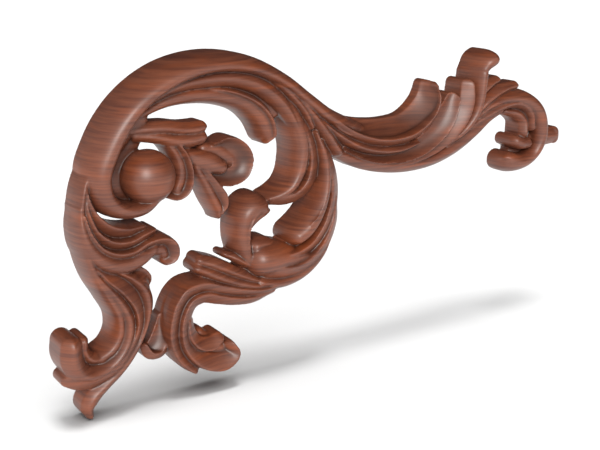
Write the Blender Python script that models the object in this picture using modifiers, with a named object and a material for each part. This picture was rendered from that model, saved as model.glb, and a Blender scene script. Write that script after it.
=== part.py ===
"""A carved corner applique in one piece of wood: an acanthus scroll with a flat back.

The carving is made the way a carver lays it out. Every leaf lobe, flute and band is a line drawn on the
board with a width and a height at a few stations along it. Each line becomes a solid lobe that stands on
the back, the lobes are fused into one body, and the back is planed flat.

The board stands upright: X runs along its length, Z up, and the carving faces -Y. The flat back lies in
the plane y = 0, and the origin is the fixing point on the back.
"""
from dataclasses import dataclass

import bmesh
import bpy
import numpy as np

# Driving sizes in metres
LENGTH = 0.3843         # the left curl's end to the right leaf tip
RELIEF = 0.0275         # the back to the highest carving, the ball in the volute
FIXING_FROM_LEFT = 0.187    # the fixing point, from the left end of the length
FIXING_FROM_FOOT = 0.146    # the fixing point, above the drawing's foot line

# The drawing is in units of its own, with this length and this relief
DRAWN_LENGTH = 384.3
DRAWN_RELIEF = 27.5

# Fineness of the fused body
VOXEL = LENGTH / 330.0      # grid on which the lobes are fused
TRIANGLES_KEPT = 0.045      # share of the fused body's faces that the solid keeps
STEP_ALONG = 2.0            # drawing units between two cuts of a lobe
CUTS_ACROSS = 13            # points over a lobe's back at each cut
END_CUTS = 6                # cuts round a lobe's end
FIRST_CUT = 0.08            # share of a quarter turn that the first cut of an end stands at
BELOW_BACK = 3.0            # how far the lobes run through the back before it is planed
BALL_TURNS = 40             # points round the ball
BALL_RINGS = 20             # rings of points over the ball
SOFTENING = 0.5             # how far each corner moves to its neighbours' middle when creases are softened
SOFTENINGS = 2              # how often they are softened
SPARE = 2.0                 # how many times the board's size the plane behind it has

# The finish
WOOD_COLOUR = (0.17, 0.062, 0.036, 1.0)
WOOD_ROUGHNESS = 0.4


@dataclass
class Section:
    """The outline across a lobe: where its crest runs, how low its edges are and how full it is."""
    crest_at: float = 0.0       # from -1, the right edge in the line's direction, to +1, the left edge
    right: float = 0.6          # height of the right edge as a share of the crest
    left: float = 0.6           # height of the left edge as a share of the crest
    spread: float = 2.0         # with power: 2 and 0.5 give a round back, 1 and 1.5 a cusp
    power: float = 0.5
    dip: float = 0.0            # depth of the gouge down the middle, as a share of the crest


ROUND = Section()
KNOB = Section(right=0.4, left=0.4)
BAND = Section(crest_at=0.35, right=0.3, power=0.55)
FLUTE = Section(right=0.72, left=0.72, spread=1.5, power=0.9)
ROLL_LEFT = Section(crest_at=-0.2, right=0.72, left=0.3, power=0.6)
ROLL_RIGHT = Section(crest_at=0.2, right=0.3, left=0.72, power=0.6)
RIBBON_LEFT = Section(crest_at=0.75, right=0.72, left=0.66, spread=1.3, power=1.0)
RIBBON_RIGHT = Section(crest_at=-0.75, right=0.66, left=0.72, spread=1.3, power=1.0)
GOUGE_LEFT = Section(crest_at=0.9, right=0.7, left=0.7, spread=1.0, power=1.3, dip=0.12)
GOUGE_RIGHT = Section(crest_at=-0.9, right=0.7, left=0.7, spread=1.0, power=1.3, dip=0.12)
SHELL_LEFT = Section(crest_at=-0.9, right=0.7, left=0.35, spread=1.0, power=1.0, dip=0.08)

# Every lobe: name, section, and stations (across, up, half width, crest height) in the drawing's units.
# A lobe's round ends reach a half width past its first and last stations.
LOBES = (
    # The band that sweeps from the arm over the top and round into the eye
    ("volute band", BAND, (
        (224, 150, 1.4, 6), (210, 153.6, 3, 12), (196, 158.2, 4.6, 18.5), (182, 164.8, 5, 22),
        (166, 176, 5, 23.5), (148, 189.2, 4.8, 25), (125, 200, 5.2, 26.5), (97, 203, 5.8, 27),
        (70, 196.3, 6.6, 27), (48, 181, 7, 27), (35, 162, 7.6, 26), (29.5, 146, 7.6, 25),
        (33, 132.8, 6.6, 24), (44, 125, 5.2, 23), (57, 125, 4.6, 22), (67, 131, 3.4, 20))),
    ("eye bed", ROUND, (
        (61.5, 167.5, 4, 9), (52, 161.5, 9, 9), (44, 151, 11, 9), (47, 140, 11, 9), (57, 134, 8, 9))),
    ("eye wall", ROUND, ((35, 150, 8, 12), (39, 161, 9, 13), (47, 169, 8.5, 13), (58, 174.6, 6, 13))),

    # The leg's flutes, which sweep down and round into the foot scroll
    ("leg flute 1", ROLL_RIGHT, (
        (31, 158, 1.5, 14), (24, 147, 2.4, 17.5), (19.6, 132, 2.6, 18.5), (18.8, 118, 2.8, 18.5),
        (20.6, 104, 3.2, 19), (25.2, 90, 3.8, 19.5), (32.8, 76, 4, 19.5), (37.8, 64, 3.6, 19),
        (37.6, 54.5, 3.8, 18.5), (33, 46.5, 4, 18), (26, 42.5, 3.8, 17.5))),
    ("foot tongue", FLUTE, (
        (27, 41.5, 3.4, 17.5), (20.5, 43, 3.6, 18), (16.8, 48.5, 3.4, 18.5), (16.8, 54.5, 3.2, 19))),
    ("leg flute 2", FLUTE, (
        (23.5, 96, 1.5, 19), (29.5, 86.5, 3, 20), (38.5, 74, 4, 20.5), (43.6, 61.5, 4.4, 20.5),
        (42.5, 51, 4.4, 20.5), (37.5, 42, 4.2, 20.5), (29.5, 36, 4.4, 20.5), (20, 34.2, 5, 21.5),
        (12, 38.4, 6, 23), (8.6, 46, 6.6, 24), (8.8, 53.6, 6.2, 24))),
    ("leg flute 3", RIBBON_RIGHT, (
        (27, 96, 2, 19), (34, 89, 3.6, 20), (43.5, 79.5, 4.2, 20.5), (49.5, 69, 3.8, 20.5),
        (50.8, 59, 3.4, 20), (48, 49, 3.4, 19.5), (43.5, 41, 3.8, 19), (35.5, 33, 4, 19), (24, 29, 4, 19),
        (13, 29.5, 4.2, 19), (7, 32.5, 4, 18))),
    ("foot", FLUTE, (
        (38, 91.5, 1.6, 18.5), (46.5, 86.5, 2.8, 19), (54, 78.5, 3.8, 19), (56.6, 69, 4, 18.5),
        (55.4, 60, 2.8, 18.5), (51.8, 50, 2.6, 18), (46.4, 41, 3.4, 17.5), (38, 32, 4, 17.5),
        (28, 24.5, 4.4, 17.5), (21, 18.5, 4.9, 17.5), (18.1, 12.5, 4.4, 16.5), (19.4, 7.6, 2.6, 15))),

    # The leaves under the volute
    ("spray leaf 1", RIBBON_LEFT, (
        (24.5, 150, 1, 16), (22.2, 138, 2, 18.5), (26.6, 124.8, 3, 19.5), (35.5, 116.3, 3.4, 19.5),
        (46, 113, 3.6, 19), (55, 113.2, 3.2, 17.5))),
    ("spray leaf 2", RIBBON_LEFT, (
        (22.5, 143, 1, 16.5), (21.8, 128, 2.2, 19.5), (27.6, 113.8, 3, 20.5), (37, 107.4, 3.2, 20.5),
        (48, 106.8, 3.2, 20.5), (57, 109.6, 3.2, 20), (61.4, 111, 2.6, 19))),
    ("spray leaf 3", RIBBON_LEFT, (
        (20, 126, 1.4, 20), (22.5, 115.5, 2.2, 21), (29, 105.5, 2.8, 21.5), (39, 100.6, 3, 21.5),
        (49, 100.8, 3, 21.5), (57, 104.4, 3, 21.5), (64, 105.6, 3, 22), (70, 104, 3.2, 22),
        (72.8, 99, 3.2, 21.5), (71.6, 94, 3, 20.5), (68, 92.4, 2.4, 19.5))),
    ("spray curl", ROUND, ((61, 100, 4.4, 18.5), (65.6, 100, 4.2, 18.5), (68, 96.6, 3.6, 17.5))),
    ("spray body", ROLL_RIGHT, (
        (18.6, 130, 2.2, 18.5), (18.8, 118, 4, 20), (22, 107, 5.6, 21), (28.2, 99.4, 6, 21.5),
        (36.5, 94.8, 6, 21.5), (46, 93.8, 6, 21.5), (54.5, 96.6, 5.6, 21), (61, 100, 4, 20))),
    ("spray tip", GOUGE_RIGHT, (
        (43, 90, 2, 17), (51, 88, 3, 17), (57, 85, 3, 16.5), (60, 80.5, 2.2, 15), (59.8, 77.5, 1, 14))),

    # The centre leaf, which swings down from the right scroll
    ("centre body", RIBBON_RIGHT, (
        (148, 64, 2.5, 20), (132, 61.8, 3.2, 21), (116, 64.6, 3.8, 21), (101, 69.4, 4.4, 21.5),
        (89, 73, 4.8, 22), (80.5, 71, 5, 22), (75.5, 65, 5, 21.5), (72.5, 56, 5, 21),
        (72, 45, 5, 20), (75.5, 33.5, 4.6, 19), (82.5, 24.5, 4.2, 18), (86, 21, 3.4, 17))),
    ("centre inner", RIBBON_RIGHT, (
        (140, 59.6, 2, 18), (127, 57.6, 3, 19), (114, 59, 3.4, 19), (102, 62.6, 3.8, 19.5),
        (92, 65.6, 4.2, 20), (85, 63.5, 4.4, 20), (81, 57.5, 4.4, 20), (79, 48, 4.4, 20),
        (80.5, 38.5, 4.6, 20.5), (86.5, 29.5, 5, 21), (96, 23.5, 5.6, 21), (105.5, 22.6, 5.6, 21),
        (111, 26.5, 4.4, 20.5), (109, 32, 3, 20))),
    ("centre heart", RIBBON_RIGHT, (
        (83.5, 52, 2.6, 18), (84, 44, 3.6, 19), (88.5, 37.5, 4, 20), (96, 35.6, 4.2, 20),
        (101.5, 38, 3.4, 19))),
    ("centre heart bed", ROUND, ((92, 41, 3.5, 12), (99, 33, 6, 14.5), (106, 29, 5, 14.5))),
    ("centre rim", FLUTE, (
        (122, 66.6, 2, 17), (106, 71.6, 2.4, 15), (93, 74.8, 2.6, 12), (83.5, 74.6, 2.6, 11),
        (77, 71.3, 2.6, 11), (72.5, 65, 2.8, 11), (69.4, 56, 3, 12), (68.6, 47, 3, 13))),
    ("centre back leaf", GOUGE_LEFT, ((68, 56, 3, 13), (65.5, 48, 4.4, 14.5), (62.5, 41.5, 5, 15),
                                      (59, 37.8, 4.6, 15))),
    ("centre back tip", RIBBON_LEFT, ((54.6, 41.5, 2.4, 14.5), (57.6, 36, 3, 15.5), (64, 34.8, 3, 15.5),
                                (70, 39, 2.8, 14.5))),
    ("centre leaf 1 upper", FLUTE, (
        (138, 66, 2, 17), (126, 70.6, 3, 18.5), (113, 77.2, 3.8, 18.8), (102, 83, 4.2, 17.5),
        (92.6, 87, 3.8, 15.5))),
    ("centre leaf 1 lower", ROLL_RIGHT, (
        (138, 64.5, 2, 19), (124, 68, 3, 19.5), (110, 73.4, 3.8, 19.5), (99, 79, 4.2, 18.5),
        (90.4, 83.6, 3.8, 16.5))),
    ("centre leaf 2", FLUTE, (
        (131, 74, 2, 15), (124, 79.2, 2.6, 17), (116, 84.8, 2.8, 17), (109, 88.2, 2.2, 14))),

    # The right scroll's flutes, from the crown down and round
    ("scroll flute 1", ROLL_RIGHT, (
        (141, 181.5, 3.4, 17), (149.6, 172.6, 5.6, 20), (155.2, 161.4, 6.4, 22), (158.4, 150, 6, 22.5),
        (158, 140, 5.8, 22.5), (155.6, 131.6, 5.2, 22), (150.8, 125, 4.4, 21.5), (144.4, 121.4, 3.6, 20),
        (138, 119.8, 2.6, 18))),
    ("scroll flute 2", RIBBON_RIGHT, (
        (157, 170, 2, 20), (164, 158, 3.2, 21), (167.2, 147, 4.4, 22), (167.8, 136, 5, 22),
        (164.8, 126, 5, 22), (156.8, 119.2, 4.4, 21.5), (147, 117, 3.6, 20), (140, 117, 2.8, 18))),
    ("kidney", KNOB, (
        (170, 156, 2, 20), (174, 145, 3.6, 22), (176.2, 134, 4.2, 23), (175.6, 122, 4.8, 24),
        (172.4, 111.2, 5.6, 24.5), (167, 102.4, 6.6, 25), (160.6, 96.2, 7.2, 25), (156.4, 93.6, 7, 24.5))),
    ("kidney ridge", RIBBON_RIGHT, (
        (177, 142, 1.4, 22), (178, 130, 1.8, 23.5), (176, 118, 2.2, 24.6), (170.4, 107, 2.4, 25.4),
        (163.4, 100, 2.2, 25.4))),
    ("scroll flute 3", RIBBON_RIGHT, (
        (176, 150, 2, 19), (181, 136, 3.8, 21), (183.4, 121, 4.6, 22), (181.8, 107, 5.2, 22),
        (176, 95, 5, 22.4), (167.6, 86.6, 4.6, 22.8), (157.5, 82, 4.4, 23), (148, 80.6, 4.4, 23))),
    ("scroll flute 4", RIBBON_RIGHT, (
        (186, 114, 2.5, 20), (184.4, 99, 4, 20.5), (178.5, 86.5, 4.8, 21.4), (169, 77, 5.2, 22.2),
        (157.5, 72.4, 5.2, 22.8), (146.5, 72.2, 5.2, 23.4), (137, 74.4, 5.2, 23.4))),
    ("scroll flute 5", FLUTE, (
        (183.5, 92, 2.5, 18), (176.5, 79.5, 4.2, 18.5), (166.5, 70.8, 4.8, 19), (155, 66.5, 4.8, 20),
        (143, 65.4, 4.4, 20.5), (132, 67.5, 4, 20))),
    ("bulb", KNOB, (
        (163, 79, 6, 20), (152, 80, 8.6, 22.4), (141, 81, 10.8, 24.4), (132.8, 81.6, 11, 25))),

    # The tulip leaf in the middle
    ("tulip trunk", ROLL_LEFT, (
        (128, 73, 3, 16), (122.5, 83, 4.6, 18), (119, 94, 5.8, 19.5), (118.8, 105, 6.4, 20.5),
        (122, 113.4, 7.2, 21.5), (128, 116.4, 7.6, 21.5), (132.6, 115.2, 6.4, 20.5))),
    ("tulip flute", RIBBON_RIGHT, (
        (124.4, 82, 1.2, 18), (121, 93, 1.6, 20.4), (120.6, 103, 1.8, 21.6), (124.4, 111, 2, 22),
        (128.6, 113.6, 1.6, 21.2))),
    ("tulip lip", ROUND, (
        (119, 93, 2.4, 17), (120.4, 101, 3.4, 18.5), (124.8, 107, 4, 19.5), (129.6, 110.6, 4.4, 19.5),
        (133, 112, 4.4, 19.2))),
    ("tulip petal", FLUTE, ((127, 84, 4, 18), (128.5, 91, 4.2, 19), (135, 91.5, 4, 18), (141, 88.5, 3.6, 17))),

    # The arch over the middle, with its hook
    ("crown leaf", FLUTE, (
        (62, 183, 2.5, 16), (78, 191, 4, 19.5), (97, 193.8, 4.8, 21), (115, 193, 5.2, 22),
        (130, 188, 5.4, 22.5), (142.6, 179, 5.2, 22.5), (150.4, 169.4, 4.2, 22.5), (155.4, 159, 3.2, 22),
        (157.4, 149, 2, 21.5))),
    ("hook", ROLL_RIGHT, (
        (58, 176, 3, 14), (74, 182.2, 4, 16), (93, 184, 4.8, 17.5), (110, 181.6, 5.2, 18),
        (124, 176, 5.6, 18.5), (132.8, 167.5, 5.8, 19), (137, 158, 5.2, 19))),
    ("hook rim", FLUTE, (
        (95, 188, 0.8, 15.5), (107, 186.9, 1.6, 18.6), (119, 183.2, 2.1, 20.4), (129.4, 177.4, 2.4, 21.2),
        (136, 170.6, 2.5, 21.6), (139.2, 163.4, 2.5, 21.6), (139.6, 157.6, 2.4, 21), (136.4, 154.2, 2, 18.5))),
    ("arch bed", ROUND, ((80, 187.5, 3, 13), (100, 190, 4, 14), (118, 187, 4.5, 15), (132, 180.5, 4.5, 15),
                         (143, 170, 4, 15))),

    # Small leaves inside the arch
    ("inner leaf", FLUTE, (
        (52, 168, 4, 13), (64, 168.4, 4, 15), (74, 168, 4, 15.8), (84, 166.2, 4, 16),
        (92, 166, 4, 16.5), (95, 166.6, 3.6, 16.5))),
    ("inner leaf lower", FLUTE, (
        (56, 165, 3.4, 13), (68, 163.4, 4, 15.5), (78, 160.8, 4.4, 16.5), (87, 160, 4.6, 17.2),
        (94, 160.8, 4.4, 17))),
    ("eye hook left", ROLL_RIGHT, (
        (68, 163, 2.4, 12.5), (75.2, 157, 3.2, 13.5), (80, 148.5, 3.8, 14), (81.2, 139, 4, 14),
        (78.6, 132, 4, 13.5))),
    ("eye hook right", RIBBON_LEFT, (
        (74, 162, 1.6, 14), (81, 155.4, 1.8, 16.5), (85.4, 146.5, 1.8, 17), (86.4, 138, 1.9, 17),
        (83.6, 130.4, 2, 16.5), (77.6, 127.8, 2, 15.5), (73, 129, 1.6, 14))),
    ("slant leaf left", ROLL_RIGHT, (
        (87.5, 150, 2.6, 14.5), (92, 140.5, 3.2, 15.5), (97, 131, 3.6, 16), (101, 122.6, 3.8, 16),
        (104, 116.4, 3.4, 15.5), (104.6, 112.6, 2.4, 14))),
    ("slant leaf right", RIBBON_LEFT, (
        (90, 148, 2, 15.5), (96.4, 139, 2.8, 17), (102.4, 130.5, 3.4, 17.5), (107, 124, 3.2, 17.3),
        (108, 119, 2.4, 16.5), (106, 115.4, 2, 15.5))),
    ("curl outer", GOUGE_RIGHT, (
        (94, 142, 2.4, 16), (103, 136.6, 4, 17), (111.5, 135, 5, 18), (118.8, 138, 5.6, 18.5),
        (121.4, 145, 5.8, 18.5), (117.4, 151.8, 5.6, 18.5), (110.6, 155, 4.8, 17.5),
        (105.5, 154.4, 3.4, 16.5))),
    ("curl inner", ROUND, (
        (84, 152.5, 3.6, 15.5), (93, 147.8, 5.6, 17), (101, 144.4, 6, 18.2), (106.4, 142, 4.6, 18))),
    ("curl bed", ROUND, ((98, 153, 4, 12), (106, 150, 6, 13), (114, 146, 5, 13))),

    # The strips that leave the crown at the junction and run into the arm
    ("junction strip 1", FLUTE, (
        (124, 196, 1.5, 19), (140, 189, 2.6, 21), (153, 179, 3, 22), (162.5, 168, 3, 21.5),
        (167, 160, 2.4, 20))),
    ("junction strip 2", FLUTE, (
        (140, 191.5, 1.5, 19), (155, 180, 2.8, 21), (166, 168.5, 3.4, 22), (177.5, 155, 4.2, 21.5),
        (187.5, 142.5, 4, 19.5))),
    ("junction bed", ROUND, ((150, 176, 8, 15), (166, 164, 10, 15), (180, 152, 9, 15), (190, 147, 7, 14))),

    # The arm's flutes, which open into leaves
    ("arm leaf 1", SHELL_LEFT, (
        (178, 167.5, 3, 19), (190, 159.6, 5.2, 20), (203, 154.4, 6.2, 20), (216, 151.6, 6.8, 20),
        (231, 150.6, 7.2, 20.5), (244.5, 152.6, 7.2, 21), (254, 159, 6.6, 21), (260, 167.6, 5.2, 20.5),
        (262, 176.4, 3.6, 19.5))),
    ("arm flute 1", RIBBON_LEFT, (
        (166, 175, 2, 20), (182, 161.5, 2.8, 21.5), (198, 151.5, 3, 22), (214, 145.8, 3, 22),
        (231, 144, 3.2, 22.5), (247, 147, 3.4, 23), (257.5, 153.2, 3.4, 23), (264.4, 161.4, 2.8, 22.5),
        (266.6, 169.6, 2.4, 21.5), (264.6, 177, 2, 20))),
    ("arm flute 2", FLUTE, (
        (170, 166, 2, 20), (188, 152, 2.6, 21), (205, 143, 2.8, 21.5), (221, 139, 2.8, 21.5),
        (237, 138.5, 2.6, 21), (250, 141, 1.6, 20))),
    ("arm leaf 2", GOUGE_RIGHT, (
        (196, 143, 2.5, 19), (212, 136, 3.2, 20.5), (230, 133.5, 3.8, 21), (247, 135.5, 4.8, 21.5),
        (260, 142, 6, 22), (270, 151.5, 6.8, 22.5), (276, 161, 6, 22.5), (279, 166.5, 4.6, 22))),
    ("arm leaf 3", RIBBON_RIGHT, (
        (215, 131.5, 2, 18), (234, 130, 3, 19.5), (252, 132.3, 3.6, 20.5), (267, 138, 4.2, 21.5),
        (280, 147.5, 5, 22.5), (287.5, 158, 5.2, 23), (290, 168, 4.8, 23), (290.5, 175, 4.2, 22))),
    ("arm lower edge", FLUTE, (
        (188, 141, 3.5, 17), (205, 133.5, 4.5, 18), (225, 128.5, 5, 18.5), (246, 126.6, 5, 19),
        (266, 128.7, 5.2, 19.5), (284, 134.8, 5.4, 20), (300, 143.6, 5.2, 20), (313, 151, 4.2, 19),
        (323, 154.5, 3.6, 18))),
    ("arm bed", ROUND, ((196, 149, 7, 14), (216, 143, 9, 14), (240, 141, 11, 14), (262, 145, 11, 14),
                        (280, 154, 11, 14), (294, 160, 9, 14))),
    ("top curl stem", ROLL_LEFT, (
        (276, 138, 3, 19), (289, 146, 4, 21), (296.5, 156, 4.6, 23), (299.5, 168, 5, 24),
        (300.2, 176, 5.2, 24), (300.8, 182, 5.2, 24))),
    ("top curl", KNOB, ((302, 184.6, 5.2, 24), (305.4, 188.8, 6.4, 25.5), (309, 190.8, 6.4, 26))),

    # The right end
    ("end leaf 1", FLUTE, ((298, 158, 2.5, 18), (304, 167, 3.4, 19), (312, 173, 3.6, 18.5),
                           (321, 175.5, 3, 16))),
    ("end leaf 2", FLUTE, ((301, 154, 2.5, 18), (311, 162.5, 3.6, 19), (324, 168.5, 4, 18.5),
                           (339, 170, 3.4, 15))),
    ("end outer rim", ROLL_LEFT, (
        (302, 153, 2, 18), (318, 161.5, 3.6, 20), (334, 163.2, 4.8, 21), (348.5, 160, 6, 22),
        (358.8, 151.8, 6.6, 22.5), (363, 141, 6.6, 22.5), (362.8, 130, 6, 22), (357, 120, 5.4, 21),
        (347, 115.4, 6.2, 21), (338, 116, 7.2, 21), (334.5, 117.4, 7.2, 20.5))),
    ("end inner rim", FLUTE, (
        (296, 146, 2.5, 18), (310, 153, 3.6, 20), (324, 158, 3.8, 21), (336, 159, 3.6, 21),
        (345.5, 155.5, 3.2, 20.5), (352, 148.5, 3, 20), (354, 140, 3, 19))),
    ("end cup", FLUTE, (
        (333, 152.5, 3, 14), (341, 150.5, 3.6, 17), (347, 144.5, 3.8, 18), (347, 137, 3.8, 19))),
    ("end roll", ROUND, ((351, 129, 4.4, 19), (344.5, 129.6, 4.6, 20.5), (338.5, 132, 4.4, 20.5))),
    ("end bed", ROUND, ((340, 154, 6, 10), (353, 148, 7, 10), (355, 134, 7, 10), (347, 125, 7, 10))),
    ("end tip", FLUTE, ((362, 131.5, 6, 15), (372, 131, 6.4, 16), (378.6, 131, 6, 16))),
    ("end tip edge", FLUTE, ((381, 129.8, 5, 15.5), (381, 132.4, 5, 15.5))),
)

# The ball in the volute's eye: across, up, height of its centre and radius, in the drawing's units
BALL = (61.0, 142.0, 12.0, 15.5)


def along(values, places, wanted):
    """Smooth values at the wanted places: a cubic through every station, with no kink between them."""
    slopes = np.gradient(values, places, axis=0)
    piece = np.clip(np.searchsorted(places, wanted, side="right") - 1, 0, len(places) - 2)
    start, end = places[piece], places[piece + 1]
    span = (end - start)[:, None]
    t = (wanted[:, None] - start[:, None]) / span
    return ((1 + 2 * t) * (1 - t) ** 2 * values[piece] + t * (1 - t) ** 2 * span * slopes[piece]
            + t ** 2 * (3 - 2 * t) * values[piece + 1] + t ** 2 * (t - 1) * span * slopes[piece + 1])


def unit(step):
    """The same direction with length one."""
    return step / np.linalg.norm(step)


def rings_of(section, stations):
    """Closed rings of points round a lobe, one at each cut, as an array of cuts by points by (u, v, h)."""
    stations = np.array(stations, dtype=float)
    # One more station past each end, so that the round end has room
    first, last = stations[0, 2], stations[-1, 2]
    before, after = stations[0].copy(), stations[-1].copy()
    before[:2] -= first * unit(stations[1, :2] - stations[0, :2])
    after[:2] += last * unit(stations[-1, :2] - stations[-2, :2])
    stations = np.concatenate((before[None], stations, after[None]))
    legs = np.linalg.norm(np.diff(stations[:, :2], axis=0), axis=1)
    places = np.concatenate(([0.0], np.cumsum(legs)))
    length = places[-1]
    # The cuts crowd at the ends, where width and crest fall off as a quarter circle
    turn = 1 - np.cos(np.linspace(FIRST_CUT, 1, END_CUTS, endpoint=False) * np.pi / 2)
    wanted = np.concatenate((
        first * turn,
        np.linspace(first, length - last, max(int(length / STEP_ALONG), 4)),
        (length - last * turn)[::-1]))
    line = along(stations, places, wanted)
    heading = np.gradient(line[:, :2], wanted, axis=0)
    heading /= np.linalg.norm(heading, axis=1)[:, None]
    left = np.stack((-heading[:, 1], heading[:, 0]), axis=1)
    cap = np.minimum(np.minimum(wanted / first, (length - wanted) / last), 1)
    cap = np.sqrt(1 - (1 - cap) ** 2)
    across = np.sin(np.linspace(-1, 1, CUTS_ACROSS) * np.pi / 2)
    reach = np.where(across > section.crest_at, 1 - section.crest_at, 1 + section.crest_at)
    fall = np.clip(np.abs(across - section.crest_at) / reach, 0, 1)
    edge = np.where(across > section.crest_at, section.left, section.right)
    rise = (1 - edge) * (1 - fall ** section.spread) ** section.power - section.dip * (1 - across ** 2)
    level = edge[None, :] + rise[None, :] * cap[:, None]
    top = np.empty((len(wanted), CUTS_ACROSS, 3))
    offset = across[None, :] * (line[:, 2] * cap)[:, None]
    top[:, :, :2] = line[:, None, :2] + offset[:, :, None] * left[:, None, :]
    top[:, :, 2] = line[:, 3:4] * level
    foot = top[:, [-1, 0], :].copy()
    foot[:, :, 2] = -BELOW_BACK
    return np.concatenate((top, foot), axis=1)


def to_board(points):
    """Places in metres of points in the drawing's units."""
    plan = LENGTH / DRAWN_LENGTH
    depth = RELIEF / DRAWN_RELIEF
    placed = np.empty_like(points)
    placed[..., 0] = points[..., 0] * plan - FIXING_FROM_LEFT
    placed[..., 1] = -points[..., 2] * depth
    placed[..., 2] = points[..., 1] * plan - FIXING_FROM_FOOT
    return placed


def add_lobe(mesh, section, stations):
    """Adds one closed lobe: walls between its rings and a face over each end."""
    rings = to_board(rings_of(section, stations))
    corners = [[mesh.verts.new(point) for point in ring] for ring in rings]
    for ring, following in zip(corners, corners[1:]):
        for k in range(len(ring)):
            n = (k + 1) % len(ring)
            mesh.faces.new((ring[k], ring[n], following[n], following[k]))
    mesh.faces.new(corners[0][::-1])
    mesh.faces.new(corners[-1])


def add_ball(mesh):
    """Adds the ball that fills the volute's eye."""
    across, up, height, radius = BALL
    made = bmesh.ops.create_uvsphere(mesh, u_segments=BALL_TURNS, v_segments=BALL_RINGS,
                                     radius=radius * LENGTH / DRAWN_LENGTH)
    centre = to_board(np.array((across, up, height)))
    for corner in made["verts"]:
        corner.co.x += centre[0]
        corner.co.y += centre[1]
        corner.co.z += centre[2]


def wood():
    """Satin lacquered reddish brown wood."""
    material = bpy.data.materials.new("satin walnut")
    material.use_nodes = True
    shader = material.node_tree.nodes["Principled BSDF"]
    shader.inputs["Base Color"].default_value = WOOD_COLOUR
    shader.inputs["Roughness"].default_value = WOOD_ROUGHNESS
    shader.inputs["Metallic"].default_value = 0.0
    return material


def build():
    """Clears the scene and makes the applique."""
    for old in list(bpy.data.objects):
        bpy.data.objects.remove(old, do_unlink=True)
    parts = bpy.data.collections.new("corner_applique")
    cutters = bpy.data.collections.new("cutters")
    bpy.context.scene.collection.children.link(parts)
    bpy.context.scene.collection.children.link(cutters)

    lobes = bmesh.new()
    for _name, section, stations in LOBES:
        add_lobe(lobes, section, stations)
    add_ball(lobes)
    bmesh.ops.recalc_face_normals(lobes, faces=lobes.faces)
    data = bpy.data.meshes.new("corner_applique")
    lobes.to_mesh(data)
    lobes.free()
    applique = bpy.data.objects.new("corner_applique", data)
    applique.data.materials.append(wood())
    parts.objects.link(applique)

    fuse = applique.modifiers.new("fuse the lobes", "REMESH")
    fuse.mode = "VOXEL"
    fuse.voxel_size = VOXEL
    soften = applique.modifiers.new("soften the creases", "SMOOTH")
    soften.factor = SOFTENING
    soften.iterations = int(SOFTENINGS)
    thin = applique.modifiers.new("fewer faces", "DECIMATE")
    thin.ratio = TRIANGLES_KEPT

    bpy.ops.mesh.primitive_cube_add(size=1.0)
    plane = bpy.context.active_object
    plane.name = "back plane"
    plane.dimensions = (SPARE * LENGTH, RELIEF, SPARE * LENGTH)
    plane.location = (0.0, RELIEF / 2, 0.0)
    plane.hide_render = True
    plane.display_type = "WIRE"
    for collection in list(plane.users_collection):
        collection.objects.unlink(plane)
    cutters.objects.link(plane)
    flat = applique.modifiers.new("plane the back", "BOOLEAN")
    flat.operation = "DIFFERENCE"
    flat.solver = "EXACT"
    flat.object = plane


build()
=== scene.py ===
"""A carved corner applique in satin walnut: the relief, its finish, a pale floor and soft studio light.

Every leaf lobe, flute and band of the carving is a line drawn on the board, with a width and a height at a
few stations along it. Each line is lofted into a closed lobe, the lobes are fused into one piece of wood,
and its back is planed flat. X runs along the length and Z up, the carving faces -Y, and its back lies in
y = 0.
"""
import logging
from dataclasses import dataclass
from enum import Enum

import bpy
import numpy as np
from mathutils import Matrix, Vector


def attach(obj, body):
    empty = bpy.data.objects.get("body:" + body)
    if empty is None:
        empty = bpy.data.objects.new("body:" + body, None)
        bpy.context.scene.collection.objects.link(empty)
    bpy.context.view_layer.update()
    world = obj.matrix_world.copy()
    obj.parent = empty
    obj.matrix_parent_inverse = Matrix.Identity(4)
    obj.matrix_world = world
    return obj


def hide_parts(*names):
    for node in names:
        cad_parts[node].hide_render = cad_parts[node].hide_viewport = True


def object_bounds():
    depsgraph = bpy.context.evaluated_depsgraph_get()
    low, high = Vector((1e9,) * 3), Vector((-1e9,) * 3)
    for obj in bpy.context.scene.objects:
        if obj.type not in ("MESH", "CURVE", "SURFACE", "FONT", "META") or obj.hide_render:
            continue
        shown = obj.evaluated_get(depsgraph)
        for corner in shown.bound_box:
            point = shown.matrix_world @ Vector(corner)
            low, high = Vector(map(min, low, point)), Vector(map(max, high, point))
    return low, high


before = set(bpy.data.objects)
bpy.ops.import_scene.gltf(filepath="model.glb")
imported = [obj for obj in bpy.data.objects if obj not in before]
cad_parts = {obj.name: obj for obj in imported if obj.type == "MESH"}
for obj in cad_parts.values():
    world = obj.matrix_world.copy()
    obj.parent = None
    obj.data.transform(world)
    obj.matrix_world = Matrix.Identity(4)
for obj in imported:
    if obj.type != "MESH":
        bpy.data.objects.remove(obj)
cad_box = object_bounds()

log = logging.getLogger("corner_applique")

# Sizes in metres, as the CAD has them
LENGTH = 0.3843             # the left curl's end to the right leaf tip
RELIEF = 0.0275             # the back to the highest carving, the ball in the volute
FIXING_FROM_LEFT = 0.187    # the fixing point, from the left end of the length
FIXING_FROM_FOOT = 0.146    # the fixing point, above the drawing's foot line
MM = 0.001

HOLLOW_SHADE = "hollow"           # the mesh attribute that says how deep in a hollow a point lies, and so how much painted shade darkens the wood there

# The drawing of the carving is in units of its own, with this length and this relief
DRAWN_LENGTH = 384.3
DRAWN_RELIEF = 27.5
PLAN = LENGTH / DRAWN_LENGTH
DEPTH = RELIEF / DRAWN_RELIEF

# A Mix node has sockets of one name for numbers and colours; these are the ones for colours
MIX_FACTOR, MIX_UNDER, MIX_OVER, MIX_RESULT = 0, 6, 7, 2

Station = tuple[float, float, float, float]
Inputs = dict[str | int, object]


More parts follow.
